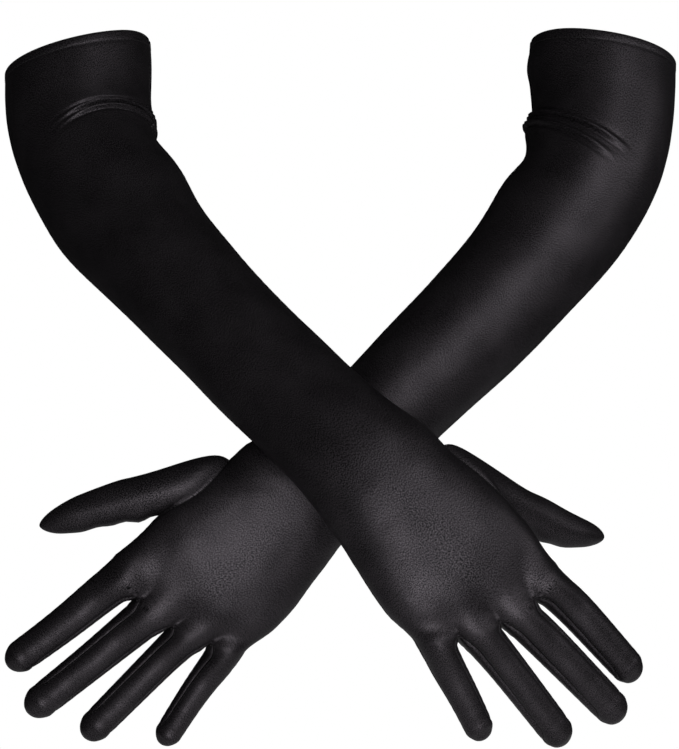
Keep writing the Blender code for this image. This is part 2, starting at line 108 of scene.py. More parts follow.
# Each crease inside an elbow is places (degrees round from the thumb side, distance from the
# wrist) and a height. A fit is (distance from the wrist, spread, and how far the thumb side and
# the outer side stand out there), for the places where this wearer's arm differs.
GLOVES = {
    "right": {
        "line": (
            (-0.1425, -0.013, -0.050),
            (-0.1228, -0.033, -0.088),
            (-0.0784, -0.074, -0.140),
            (-0.0482, -0.098, -0.169),
            (-0.0184, -0.122, -0.196),
            (0.0080, -0.143, -0.220),
            (0.0380, -0.150, -0.2522),
            (0.0700, -0.150, -0.2902),
        ),
        "handed": 1.0,
        "cuff_slant": 0.0076,
        "cuff_dip": 0.0064,
        "cuff_drop": 0.0032,
        "roll": 12.0,
        "fan": (12.4, -0.1, -6.9, -5.1),
        "reach": (0.970, 1.015, 1.010, 1.025),
        "bend": 15.0,
        "thumb_root": (0.0225, 0.0365, -0.006),
        "thumb_tip": (0.0744, 0.1142, -0.040),
        "thumb_girth": (0.0112, 0.0082),
        "thumb_curl": -0.0010,
        "thumb_bow": 0.0,
        "hole": (6.0, 40.0),
        "fit": (
            (-0.285, 0.016, -0.0012, 0.0008),
            (-0.242, 0.020, -0.0030, 0.0),
            (-0.205, 0.024, 0.0024, 0.0016),
            (-0.140, 0.060, 0.0010, -0.0022),
            (-0.065, 0.030, 0.0008, 0.0012),
            (0.055, 0.014, 0.0, -0.0002),
            (0.010, 0.012, 0.0022, 0.0),
            (0.095, 0.016, -0.0030, 0.0014),
        ),
        "creases": (
            (((0, -0.2638), (62, -0.2606), (112, -0.2500)), 0.0018),
            (((0, -0.2570), (62, -0.2559), (108, -0.2478)), 0.0017),
            (((0, -0.2698), (25, -0.2674), (52, -0.2622)), 0.0012),
        ),
    },
    "left": {
        "line": (
            (0.1455, -0.010, -0.050),
            (0.1270, -0.020, -0.091),
            (0.0720, -0.046, -0.1545),
            (0.0440, -0.060, -0.1810),
            (0.0190, -0.072, -0.2060),
            (-0.0125, -0.082, -0.2385),
            (-0.0465, -0.090, -0.2705),
            (-0.0835, -0.097, -0.3030),
        ),
        "handed": -1.0,
        "cuff_slant": 0.0055,
        "cuff_dip": 0.0045,
        "cuff_drop": 0.0,
        "roll": -10.0,
        "fan": (17.0, 4.2, -2.8, -5.4),
        "reach": (1.050, 1.0, 1.0, 1.045),
        "bend": 3.0,
        "thumb_root": (0.0255, 0.0350, 0.000),
        "thumb_tip": (0.0750, 0.1156, -0.012),
        "thumb_girth": (0.0134, 0.0077),
        "thumb_curl": 0.0006,
        "thumb_bow": 0.0036,
        "hole": (18.0, 26.0),
        "fit": (
            (-0.302, 0.006, 0.0015, 0.0),
            (-0.266, 0.020, -0.0020, -0.0008),
            (-0.230, 0.016, -0.0046, 0.0),
            (-0.255, 0.010, 0.0026, 0.0),
            (-0.196, 0.030, 0.0022, 0.0),
            (-0.170, 0.030, 0.0, -0.0012),
            (-0.100, 0.045, 0.0008, 0.0016),
            (0.008, 0.014, 0.0080, 0.0),
            (0.031, 0.020, 0.0068, 0.0),
            (0.064, 0.018, 0.0042, 0.0),
            (0.045, 0.024, 0.0, 0.0012),
            (0.090, 0.016, 0.0, 0.0024),
            (0.105, 0.026, 0.0026, 0.0),
        ),
        "creases": (
            (((0, -0.2655), (57, -0.2518), (88, -0.2462), (118, -0.2408)), 0.0024),
            (((0, -0.2556), (55, -0.2436), (80, -0.2388), (106, -0.2345)), 0.0021),
        ),
    },
}


def ease(value, low, high):
    t = np.clip((value - low) / (high - low), 0.0, 1.0)
    return t * t * (3.0 - 2.0 * t)


def bell(value, half_width):
    return np.exp(-((value / half_width) ** 2))


def through(stations, values, at):
    """A smooth curve through the values at their stations, run on straight past its ends."""
    x, y = np.asarray(stations, float), np.asarray(values, float)
    slope = np.gradient(y, x, axis=0)
    i = np.clip(np.searchsorted(x, at) - 1, 0, len(x) - 2)
    width = x[i + 1] - x[i]
    t = np.clip((at - x[i]) / width, 0.0, 1.0)
    past = at - (x[i] + t * width)
    if y.ndim > 1:
        width, t, past = width[:, None], t[:, None], past[:, None]
    return (
        (2 * t**3 - 3 * t**2 + 1) * y[i]
        + (t**3 - 2 * t**2 + t) * width * slope[i]
        + (3 * t**2 - 2 * t**3) * y[i + 1]
        + (t**3 - t**2) * width * slope[i + 1]
        + past * np.where(t > 0.5, slope[i + 1], slope[i])
    )


def web_along(across):
    roots = np.array(FINGER_ROOTS)
    return through(roots[:, 0], roots[:, 1], np.atleast_1d(across))


def side_angles(number):
    """How far round a finger's outer and thumb sides its strips reach at the web."""
    return (
        0.0 if number == 0 else SIDE_ANGLE,
        0.0 if number == len(FINGER_NAMES) - 1 else SIDE_ANGLE,
    )


def drift(places, scale, seed):
    """Slow uneven swells of the cloth, from -1 to 1."""
    return np.array([noise.noise(Vector(p) * scale + Vector((seed, 0, 0))) for p in places])


class Glove:
    """The surface of one glove, as places across and out from the line of the arm."""

    def __init__(self, side):
        shape = GLOVES[side]
        mounts = {m["name"]: m["pos_m"] for m in frame["record"]["mounts"]}
        self.side = side
        self.body = f"{side}_glove"
        self.line = np.array((mounts[f"{side}_arm_opening"], *shape["line"]))
        steps = np.linalg.norm(np.diff(self.line, axis=0), axis=1)
        self.stations = np.concatenate(([0.0], np.cumsum(steps)))
        self.stations -= self.stations[WRIST_POINT]
        self.cuff = self.stations[0]
        self.handed = shape["handed"]
        self.cuff_slant = shape["cuff_slant"]
        self.cuff_dip = shape["cuff_dip"]
        self.roll = math.radians(shape["roll"])
        self.fan = [math.radians(lean) for lean in shape["fan"]]
        self.bend = math.radians(shape["bend"])
        self.thumb_root = np.array(shape["thumb_root"])
        self.thumb_tip = np.array(shape["thumb_tip"])
        self.cuff_drop = shape["cuff_drop"]
        self.thumb_girth = shape["thumb_girth"]
        self.thumb_curl = shape["thumb_curl"]
        self.thumb_bow = shape["thumb_bow"]
        self.hole = [math.radians(reach) for reach in shape["hole"]]
        self.reach = shape["reach"]
        self.fit = shape["fit"]
        self.creases = shape["creases"]

    def place(self, along, across, out):
        """along from the wrist, across towards the thumb, out to the back of the hand."""
        along, across, out = np.broadcast_arrays(
            *(np.atleast_1d(np.asarray(x, float)) for x in (along, across, out))
        )
        side = np.clip(across / HAND_HALF, -1.0, 1.0)
        for at, spread, thumb_side, outer_side in self.fit:
            push = np.where(side > 0, thumb_side, outer_side)
            across = across + push * side * bell(along - at, spread)
        step = 0.002
        centre = through(self.stations, self.line, along)
        run = through(self.stations, self.line, along + step)
        run = run - through(self.stations, self.line, along - step)
        run /= np.linalg.norm(run, axis=1)[:, None]
        facing = np.array((0.0, -1.0, 0.0)) + run[:, 1:2] * run
        facing /= np.linalg.norm(facing, axis=1)[:, None]
        thumbward = np.cross(facing, run) * self.handed
        turn = (self.roll * ease(along, self.cuff * 0.6, 0.02))[:, None]
        outward = facing * np.cos(turn) + thumbward * np.sin(turn)
        sideways = thumbward * np.cos(turn) - facing * np.sin(turn)
        return centre + across[:, None] * sideways + out[:, None] * outward

    def cuff_edge(self, angle):
        tilt = self.cuff_dip * np.sin(angle) - self.cuff_slant * np.cos(angle)
        return self.cuff + self.cuff_drop + tilt

    def sleeve(self, along, angle, lift=0.0):
        """(across, out) on the sleeve's section; 0 is the thumb side, a quarter turn the back."""
        half = through(SLEEVE_GIRTH[:, 0], SLEEVE_GIRTH[:, 1:], np.atleast_1d(along))
        square = 2.0 / (2.0 + 0.5 * ease(along, 0.0, 0.07))
        cos, sin = np.cos(angle), np.sin(angle)
        across = (half[:, 0] + lift) * np.sign(cos) * np.abs(cos) ** square
        out = (half[:, 1] + lift) * np.sign(sin) * np.abs(sin) ** square
        return across, out

    def leaf(self, row, face):
        """How far the thumb hole reaches round the back (or palm) at a row of the hand."""
        place = np.clip((row - LEAF_ROWS[0]) / (LEAF_ROWS[1] - LEAF_ROWS[0]), 0.0, 1.0)
        return np.where(face > 0, *self.hole) * np.sin(math.pi * place) ** 0.8

    def finger(self, number, part, angle, lift=0.0):
        """(along, across, out, drop) round a finger at a part of its length; 0 is at the webs."""
        near, far = FINGER_ROOTS[number], FINGER_ROOTS[number + 1]
        root = (near[0] + far[0]) / 2
        root_half = (far[0] - near[0]) / 2
        length = FINGER_LENGTHS[number] * self.reach[number]
        past = part * length
        open_up = math.sqrt(min(past / WEB_RUN, 1.0))
        body = FINGER_BASE[number] + (FINGER_END[number] - FINGER_BASE[number]) * part
        half = root_half + (body - root_half) * open_up
        depth = ROOT_DEPTH + (body - ROOT_DEPTH) * float(ease(past, 0.0, 2.5 * WEB_RUN))
        cap = FINGER_END[number] * FINGER_CAP
        if past > length - cap:
            shrink = math.sqrt(max(1.0 - ((past - length + cap) / cap) ** 2, 0.0))
            half, depth, lift = half * shrink, depth * shrink, lift * shrink
        rounded = float(ease(past, 0.0, WEB_RUN))
        near_full, far_full = side_angles(number)
        full = np.where(np.cos(angle) > 0, far_full, near_full)
        cos = np.cos(angle) / ((1.0 - rounded) * np.cos(full) + rounded)
        across = (half + lift) * np.clip(cos, -1.0, 1.0)
        out = (depth + lift) * np.sin(angle)
        middle = web_along(root)
        slant = (web_along(root + across) - middle) * (1.0 - rounded)
        fan = self.fan[number]
        reach = past * math.cos(self.bend)
        along = middle + reach * math.cos(fan) + slant + across * math.sin(fan * rounded)
        sideways = root - reach * math.sin(fan) + across * math.cos(fan * rounded)
        drop = math.tan(self.bend) * past**2 / (past + BEND_RUN)
        return along, sideways, out, drop


def side_angle(full, part):
    """The reach of a strip round a finger, which narrows to nothing near the tip."""
    if full == 0.0:
        return 0.0
    narrowing = full + (SIDE_END_ANGLE - full) * part / SIDE_END
    return narrowing * float(1.0 - ease(part, SIDE_END - 0.06, SIDE_POINT))


SEAM_DEPTH = 0.00055
SEAM_WIDTH = 0.0011
SEAM_PUCKER = 0.00005
PUCKER_RATE = 1250.0
PUCKER_WIDTH = 0.0022


def seam_dip(distance, along):
    """The seam pulls the cloth in, and puckers it a little between stitches."""
    pull = -SEAM_DEPTH * bell(distance, SEAM_WIDTH)
    pucker = SEAM_PUCKER * np.sin(along * PUCKER_RATE)
    return pull + pucker * bell(distance - PUCKER_WIDTH, PUCKER_WIDTH)


HEM_DEPTH = 0.0048
HEM_STEP = 0.0004
HEM_RAISE = 0.00018
HEM_GROOVE = 0.00030
CUFF_ROUNDING = 0.0004
SLEEVE_SWELL = 0.00035
SLEEVE_GRAIN = 0.00008
HAND_SWELL = 0.00045
HAND_GRAIN = 0.00018
KNUCKLE_HEIGHT = 0.0005
KNUCKLE_SINK = 0.0012
FINGER_SWELL = 0.00030
# (part of the finger's length, height) of the slack over its joints and at its tip.
FINGER_SLACK = ((0.36, 0.00022), (0.68, 0.00018), (0.92, 0.00055))
SLACK_RATE = 900.0
CREASE_WIDTH = 0.0013
CREASE_PITCH = 0.0029


def sleeve_relief(glove, along, turn, face, edge, settled):
    """Height of the creases, the turned hem and the slow swells above the smooth sleeve."""
    lift = np.zeros_like(turn)
    for route, height in glove.creases:
        degrees, run = zip(*route)
        round_arm = np.degrees(turn) if face > 0 else -0.5 * np.degrees(turn)
        away = along - through(degrees, run, round_arm)
        fade = 1.0 - ease(np.abs(round_arm), degrees[-1] * (0.6 if face > 0 else 0.05), degrees[-1])
        hollows = bell(away - CREASE_PITCH, CREASE_WIDTH) + bell(away + CREASE_PITCH, CREASE_WIDTH)
        lift += height * fade * (bell(away, CREASE_WIDTH) - 0.6 * hollows)
    drop = along - edge
    lift += HEM_RAISE * (1.0 - ease(drop, HEM_DEPTH - HEM_STEP, HEM_DEPTH + HEM_STEP))
    lift -= HEM_GROOVE * bell(drop - HEM_DEPTH, 0.0006) + CUFF_ROUNDING * bell(drop, 0.0005)
    places = np.stack((along * 26.0, turn * 0.9, np.full_like(turn, face)), axis=1)
    swell = SLEEVE_SWELL * drift(places, 1.0, glove.handed * 7.0)
    fine = SLEEVE_GRAIN * drift(places * (4.0, 5.0, 1.0), 1.0, glove.handed * 3.0)
    return lift + (swell + fine) * ease(drop, 0.004, 0.02) * settled


def hand_relief(glove, along, across, face, settled):
    """The knuckles stand up and the cloth sinks between them, over soft unevenness."""
    lift = np.zeros_like(along)
    if face > 0:
        for (near, _), (far, _) in zip(FINGER_ROOTS, FINGER_ROOTS[1:]):
            centre = (near + far) / 2
            knuckle = web_along(centre) - KNUCKLE_BEHIND_WEB
            lift += KNUCKLE_HEIGHT * bell(across - centre, 0.0065) * bell(along - knuckle, 0.011)
        for web_across, web in FINGER_ROOTS[1:-1]:
            behind = bell(along - web + 0.006, 0.0075)
            lift -= KNUCKLE_SINK * bell(across - web_across, 0.0046) * behind
    places = np.stack((along, across, np.full_like(along, face * 0.1)), axis=1)
    swell = HAND_SWELL * drift(places, 75.0, glove.handed * 11.0)
    fine = HAND_GRAIN * drift(places, 210.0, glove.handed * 5.0)
    return lift + (swell + fine) * ease(along, -0.03, 0.02) * settled


def finger_relief(glove, number, part, angle, face):
    """Small rings of slack over the joints, and slack at the tip."""
    past = part * FINGER_LENGTHS[number]
    rings = 0.0
    for joint, height in FINGER_SLACK:
        ripple = math.sin(past * SLACK_RATE + number + glove.handed)
        rings += height * ripple * bell(part - joint, 0.08)
    places = np.stack((np.full_like(angle, past * 90.0), angle * 1.1, angle * 0.0 + face), axis=1)
    return (rings + FINGER_SWELL * drift(places, 1.0, number * 5.0)) * np.sin(angle) ** 2


FINGER_STEPS = 12
SLEEVE_STEPS = FINGER_STEPS * len(FINGER_NAMES)
HEM_ROWS = (0.0, 0.0003, 0.0008, 0.0016, 0.0028, 0.0038, 0.0044, 0.0048, 0.0052, 0.0060)
# Distances from the cuff where the rows grow close for the creases and wide again.
CLOSE_ROWS, WIDE_ROWS = 0.030, 0.085
SETTLE_RUN = 0.006
LIFT_RUN = 0.012
SLEEVE_RADIUS = 0.033
HAND_RADIUS = 0.030
CREASE_ROWS = 74
SLEEVE_ROWS = 80
HAND_STEPS = 44
FINGER_ROWS = 34


def sheet_mesh(name, points, cloth_places, faces, flip, thickness=SATIN_THICKNESS):
    """A sheet of cloth with its places on the flat cloth as UVs in metres, thickened inwards."""
    mesh = bpy.data.meshes.new(name)
    if flip:
        faces = [face[::-1] for face in faces]
    mesh.from_pydata([tuple(p) for p in points], [], faces)
    uv = mesh.uv_layers.new(name="cloth")
    corners = np.empty(len(mesh.loops), np.int32)
    mesh.loops.foreach_get("vertex_index", corners)
    uv.data.foreach_set("uv", np.asarray(cloth_places, float)[corners].ravel())
    mesh.shade_smooth()
    piece = bpy.data.objects.new(name, mesh)
    bpy.context.scene.collection.objects.link(piece)
    cloth = piece.modifiers.new("cloth thickness", "SOLIDIFY")
    cloth.thickness = thickness
    cloth.offset = -1.0
    return piece


BACK_CUT = (0.122, 0.500)


class Rows:
    """Rows of places that a sheet is laid over."""

    def __init__(self):
        self.points, self.places, self.faces = [], [], []

    def add(self, points, across, along):
        start = len(self.points)
        self.points += list(points)
        count = len(points)
        self.places += zip(np.broadcast_to(across, count), np.broadcast_to(along, count))
        return list(range(start, start + len(points)))

    def join(self, first, second):
        self.faces += [
            (first[i], first[i + 1], second[i + 1], second[i]) for i in range(len(first) - 1)
        ]


def panel_piece(glove, name, face):
    sheet = Rows()
    share = np.arange(SLEEVE_STEPS + 1) / SLEEVE_STEPS
    flat_across = share * BACK_CUT[0]
    turn = math.pi * (1.0 - share)
    edge = glove.cuff_edge(face * turn)
    arm_parts = [d / -glove.cuff for d in HEM_ROWS]
    arm_parts += list(np.linspace(0.0072, CLOSE_ROWS, 10)[:-1] / -glove.cuff)
    arm_parts += list(np.linspace(CLOSE_ROWS, WIDE_ROWS, CREASE_ROWS) / -glove.cuff)
    arm_parts += list(np.linspace(WIDE_ROWS / -glove.cuff, 1.0, SLEEVE_ROWS)[1:-1])
    last = None
    for part in arm_parts:
        along = edge * (1.0 - part)
        seam = np.minimum(turn, math.pi - turn) * SLEEVE_RADIUS
        settled = ease(seam, 0.0, SETTLE_RUN)
        lift = sleeve_relief(glove, along, turn, face, edge, settled) + seam_dip(seam, along)
        across, out = glove.sleeve(along, turn)
        lift += hand_relief(glove, along, across, face, settled)
        across, out = glove.sleeve(along, turn, lift)
        new = sheet.add(glove.place(along, across, face * out), flat_across, along)
        if last:
            sheet.join(last, new)
        last = new
    angles, web, across_web, out_web = [], [], [], []
    for number in range(len(FINGER_NAMES)):
        low, high = side_angles(number)
        some = np.linspace(math.pi - low, high, FINGER_STEPS + 1)
        keep = slice(0 if number == 0 else 1, None)
        spots = glove.finger(number, 0.0, some)
        angles.append(some[keep])
        web.append(np.broadcast_to(spots[0], some.shape)[keep])
        across_web.append(spots[1][keep])
        out_web.append(spots[2][keep])
    web, across_web, out_web = (np.concatenate(x) for x in (web, across_web, out_web))
    # Between the webs the hand keeps the soft profile, and takes the finger roots' own at the end.
    spread = np.pad(out_web, 5, mode="reflect", reflect_type="odd")
    soft_web = np.convolve(spread, np.ones(11) / 11, mode="valid")
    for step in range(HAND_STEPS + 1):
        row = HAND_PARTS * step / HAND_STEPS
        along = web * step / HAND_STEPS
        turn = math.pi + (glove.leaf(row, face) - math.pi) * share
        across, out = glove.sleeve(along, turn)
        rise = ease(along, KNUCKLE_START, web)
        seam = np.minimum(turn - glove.leaf(row, face), math.pi - turn) * HAND_RADIUS
        settled = ease(seam, 0.0, SETTLE_RUN)
        lift = sleeve_relief(glove, along, turn, face, edge, settled)
        lift *= 1.0 - ease(along, 0.0, 0.03)
        lift += hand_relief(glove, along, across + (across_web - across) * rise, face, settled)
        lift += seam_dip(seam, along)
        lifted_across, lifted_out = glove.sleeve(along, turn, lift)
        across = lifted_across + (across_web - across) * rise
        valley = soft_web + (out_web - soft_web) * rise**8
        out = lifted_out + (valley - out) * rise**1.7
        new = sheet.add(glove.place(along, across, face * out), flat_across, along)
        sheet.join(last, new)
        last = new
    root_row, root_lift = last, lift
    for number in range(len(FINGER_NAMES)):
        start = number * FINGER_STEPS
        last = root_row[start : start + FINGER_STEPS + 1]
        first_lift = root_lift[start : start + FINGER_STEPS + 1]
        low_full, high_full = side_angles(number)
        for step in range(1, FINGER_ROWS + 1):
            part = math.sin(math.pi / 2 * step / FINGER_ROWS) ** 1.15 * 0.999
            past = part * FINGER_LENGTHS[number]
            low, high = side_angle(low_full, part), side_angle(high_full, part)
            angle = np.linspace(math.pi - low, high, FINGER_STEPS + 1)
            seam = np.minimum(angle - high, math.pi - low - angle) * FINGER_END[number]
            lift = finger_relief(glove, number, part, angle, face) * ease(past, 0.0, LIFT_RUN)
            lift += seam_dip(seam, past) * ease(past, 0.0, 0.004)
            lift += first_lift * (1.0 - ease(past, 0.0, LIFT_RUN))
            along, across, out, drop = glove.finger(number, part, angle, lift)
            points = glove.place(along, across, face * out - drop)
            flat = flat_across[start : start + FINGER_STEPS + 1]
            new = sheet.add(points, flat, web_along(0.0) + past)
            sheet.join(last, new)
            last = new
    return sheet_mesh(name, sheet.points, sheet.places, sheet.faces, face * glove.handed > 0)


class Wire:
    """A value on its way through a material's nodes. Sums and products of wires add Math nodes."""

    def __init__(self, tree, socket=None):
        self.tree = tree
        self.socket = socket

    def node(self, kind, settings=None, sockets=None, output=0):
        made = self.tree.nodes.new(kind)
        for key, value in (settings or {}).items():
            if key == "stops":
                ramp = made.color_ramp
                while len(ramp.elements) < len(value):
                    ramp.elements.new(0.5)
                for stop, (position, colour) in zip(ramp.elements, value):
                    stop.position, stop.color = position, colour
            else:
                setattr(made, key, value)
        for key, value in (sockets or {}).items():
            if isinstance(value, Wire):
                self.tree.links.new(value.socket, made.inputs[key])
            else:
                made.inputs[key].default_value = value
        return Wire(self.tree, made.outputs[output])

    def maths(self, operation, first, second):
        return self.node("ShaderNodeMath", {"operation": operation}, {0: first, 1: second})

    def __add__(self, other):
        return self.maths("ADD", self, other)

    def __radd__(self, other):
        return self.maths("ADD", other, self)

    def __sub__(self, other):
        return self.maths("SUBTRACT", self, other)

    def __rsub__(self, other):
        return self.maths("SUBTRACT", other, self)

    def __mul__(self, other):
        return self.maths("MULTIPLY", self, other)

    def __rmul__(self, other):
        return self.maths("MULTIPLY", other, self)


def start_material(name):
    """(material, its shader, a bare wire to add nodes with)"""
    material = bpy.data.materials.new(name)
    material.use_nodes = True
    return material, material.node_tree.nodes["Principled BSDF"], Wire(material.node_tree)


SATIN_DARK = (0.0015, 0.0014, 0.0018, 1.0)
SATIN_PALE = (0.074, 0.066, 0.074, 1.0)


def satin(name, warp):
    """Black satin: floats along the warp give a broad soft gloss with a fine speckled grain."""
    material, shader, wire = start_material(name)
    cloth = wire.node("ShaderNodeUVMap", {"uv_map": "cloth"})
    along_warp = wire.node(
        "ShaderNodeMapping",
        None,
        {"Vector": cloth, "Scale": (*warp, 1.0), "Rotation": (0, 0, 0.06)},
    )
    floats = wire.node(
        "ShaderNodeTexNoise",
        None,
        {"Vector": along_warp, "Scale": 1.0, "Detail": 3.0, "Roughness": 0.65},
    )
    speckle = wire.node(
        "ShaderNodeTexNoise", None, {"Vector": cloth, "Scale": 2100.0, "Detail": 2.0}
    )
    cloud = wire.node("ShaderNodeTexNoise", None, {"Vector": cloth, "Scale": 45.0, "Detail": 4.0})
    weave = floats * 0.4 + speckle * 0.6
    tone = wire.node(
        "ShaderNodeMapRange",
        None,
        {"Value": weave * 0.92 + cloud * 0.08, "From Min": 0.44, "From Max": 0.58},
    )
    colour = wire.node(
        "ShaderNodeMix",
        {"data_type": "RGBA"},
        {0: tone, 6: SATIN_DARK, 7: SATIN_PALE},
        output=2,
    )
    roughness = 0.36 + weave * 0.18 + cloud * 0.02
    bump = wire.node(
        "ShaderNodeBump", None, {"Strength": 0.5, "Distance": 0.00015, "Height": weave}
    )
    links = material.node_tree.links
    links.new(colour.socket, shader.inputs["Base Color"])
    links.new(roughness.socket, shader.inputs["Roughness"])
    links.new(bump.socket, shader.inputs["Normal"])
    shader.inputs["Metallic"].default_value = 0.8
    shader.inputs["Specular IOR Level"].default_value = 0.2
    return material


gloves = [Glove("left"), Glove("right")]
panel_satin = satin("panel satin", (2800.0, 1100.0))

for glove in gloves:
    back = panel_piece(glove, f"{glove.side}_back_satin", 1.0)
    back.data.materials.append(panel_satin)
    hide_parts(f"{glove.side}_back_panel")
    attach(back, glove.body)

# PALM PANELS
# The palm panel is cut from the same satin as the back panel and sewn to it down both sides of
# the arm and round the outer sides of the little and index fingers.

for glove in gloves:
    palm = panel_piece(glove, f"{glove.side}_palm_satin", -1.0)
    palm.data.materials.append(panel_satin)
    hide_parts(f"{glove.side}_palm_panel")
    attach(palm, glove.body)

# THUMBS
# Each thumb is one tapered piece of satin, sewn into a leaf-shaped hole on the side of the hand.
# The seam gathers it a little, so its root is puckered.

THUMB_FLATNESS = 0.88
THUMB_TUCK = 0.0016
THUMB_UNDER = -0.0012
THUMB_CAP = 2.8
THUMB_POINT = 0.6
THUMB_PUCKER = 0.00035
THUMB_SLACK = 0.00055
THUMB_SWELL = 0.00035
THUMB_FLAT_RADIUS = 0.009
LEAF_RADIUS = 0.016
THUMB_SIDES = 56
THUMB_STEPS = 40


def leaf_spot(glove, share, lift=0.0, outside=0.0):
    """A place on the edge of the thumb hole; share runs up the back and down the palm."""
    half = np.where(share < 0.5, share, 1.0 - share) * 2.0
    row = LEAF_ROWS[0] + (LEAF_ROWS[1] - LEAF_ROWS[0]) * half
    face = np.where(share < 0.5, 1.0, -1.0)
    angle = face * (glove.leaf(row, face) + outside / LEAF_RADIUS * np.sin(math.pi * half))
    web = float(web_along(FINGER_ROOTS[-1][0])[0])
    along = web * row / HAND_PARTS
    across, out = glove.sleeve(along, angle, lift)
    rise = ease(along, KNUCKLE_START, web)
    across = across + (FINGER_ROOTS[-1][0] + lift - across) * rise
    return glove.place(along, across, out)


def thumb_piece(glove, name):
    share = np.arange(THUMB_SIDES + 1) / THUMB_SIDES
    turn = 2.0 * math.pi * share
    root, tip = glove.thumb_root, glove.thumb_tip
    length = np.linalg.norm(tip - root)
    axis = (tip - root) / length
    back = np.array((0.0, 0.0, 1.0)) - axis[2] * axis
    back /= np.linalg.norm(back)
    index_side = np.cross(axis, back)
    index_side *= np.sign(index_side[1])
    base, end = glove.thumb_girth
    cap = end * THUMB_CAP
    sheet = Rows()
    hole = leaf_spot(glove, share % 1.0)
    under = leaf_spot(glove, share % 1.0, THUMB_UNDER, THUMB_TUCK)
    last = sheet.add(under, turn * THUMB_FLAT_RADIUS, 0.0)
    for step in range(THUMB_STEPS + 1):
        part = math.sin(math.pi / 2 * step / THUMB_STEPS) ** 1.1 * 0.9995
        radius = base + (end - base) * part
        past = part * length - (length - cap)
        if past > 0:
            radius *= (1.0 - (past / cap) ** 2) ** THUMB_POINT
        pucker = THUMB_PUCKER * np.sin(turn * 17.0 + glove.handed) * bell(part - 0.10, 0.10)
        slack = THUMB_SLACK * math.sin(part * 42.0) * np.maximum(-np.cos(turn), 0)
        slack *= bell(part - 0.5, 0.28)
        places = np.stack((np.cos(turn), np.sin(turn), np.full_like(turn, part * 5.0)), axis=1)
        swell = THUMB_SWELL * drift(places, 1.3, glove.handed * 9.0)
        girth = radius + (pucker + slack + swell) * min(radius / end, 1.0)
        bow = glove.thumb_curl * part**4 - glove.thumb_bow * math.sin(math.pi * part**1.3) ** 2
        spot = root + axis * length * part + index_side * bow
        spot = spot + girth[:, None] * (
            THUMB_FLATNESS * back * np.sin(turn)[:, None] - index_side * np.cos(turn)[:, None]
        )
        ring = glove.place(spot[:, 1], spot[:, 0], spot[:, 2])
        push = glove.place(0.04, 0.04 * part, 0.0) - glove.place(0.04, 0.0, 0.0)
        blend = float(ease(part, -0.05 if part else 0.0, 0.5))
        spots = (hole + push) * (1.0 - blend) + ring * blend
        new = sheet.add(spots, turn * THUMB_FLAT_RADIUS, part * length)
        sheet.join(last, new)
        last = new
    close = sheet.add(np.mean([sheet.points[i] for i in last], axis=0)[None], 0.0, length)[0]
    sheet.faces += [(last[i], last[i + 1], close) for i in range(THUMB_SIDES)]
    return sheet_mesh(name, sheet.points, sheet.places, sheet.faces, glove.handed < 0)


thumb_satin = satin("thumb satin", (2700.0, 1100.0))
for glove in gloves:
    thumb = thumb_piece(glove, f"{glove.side}_thumb_satin")
    thumb.data.materials.append(thumb_satin)
    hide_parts(f"{glove.side}_thumb")
    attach(thumb, glove.body)

# FOURCHETTES
# A fourchette is a narrow strip of satin, folded at the web and sewn down the facing sides of
# two fingers, so that the fingers are tubes and not flat bags.

STRIP_STEPS = 6
STRIP_ROWS = 30
STRIP_HALF = 0.006
STRIP_ROW_RUN = 0.0022
STRIP_UNDER = -0.0001
WEB_CLEARANCE = 0.0004
WEB_HOLLOW = 0.0012


def strip_row(glove, number, thumb_side, part):
    half = side_angle(SIDE_ANGLE, part)
    turn = np.linspace(half, -half, STRIP_STEPS + 1)
    angle = turn if thumb_side else math.pi - turn
    tuck = STRIP_UNDER + seam_dip((half - np.abs(turn)) * FINGER_END[number], part * 0.07)
    along, across, out, drop = glove.finger(number, part, angle, tuck)
    return glove.place(along, across, out - drop)


def fourchette_piece(glove, name, lower):
    sheet = Rows()
    parts = [SIDE_POINT * (step / STRIP_ROWS) ** 1.3 for step in range(1, STRIP_ROWS + 1)]
    flat = np.linspace(-STRIP_HALF, STRIP_HALF, STRIP_STEPS + 1)
    last = None
    rows = [(lower, True, part) for part in reversed(parts)]
    rows += [None] + [(lower + 1, False, part) for part in parts]
    for place, row in enumerate(rows):
        if row:
            points = strip_row(glove, *row)
        else:
            across, web = FINGER_ROOTS[lower + 1]
            half = ROOT_DEPTH * math.sin(SIDE_ANGLE) - WEB_CLEARANCE
            out = np.linspace(half, -half, STRIP_STEPS + 1)
            fold = web + WEB_CLEARANCE + WEB_HOLLOW * (1 - (out / half) ** 2)
            points = glove.place(fold, across, out)
        new = sheet.add(points, flat, place * STRIP_ROW_RUN)
        if last:
            sheet.join(last, new)
        last = new
    return sheet_mesh(name, sheet.points, sheet.places, sheet.faces, glove.handed < 0)


strip_satin = satin("fourchette satin", (900.0, 2400.0))
for glove in gloves:
    for lower in range(len(FINGER_NAMES) - 1):
        pair = f"{FINGER_NAMES[lower + 1]}_{FINGER_NAMES[lower]}"
        strip = fourchette_piece(glove, f"{glove.side}_{pair}_strip", lower)
        strip.data.materials.append(strip_satin)
        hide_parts(f"{glove.side}_fourchette_{pair}")
        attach(strip, glove.body)

# CUFF ELASTICS
# A flat ribbed elastic ring lies inside the turned hem and keeps the cuff up on the arm.

ELASTIC_TOP = 0.001
ELASTIC_HEIGHT = 0.007
ELASTIC_INSET = 0.0018
ELASTIC_THICKNESS = 0.0008
ELASTIC_GATHER = 0.0002
ELASTIC_FLAT_RADIUS = 0.040
ELASTIC_SIDES = 160


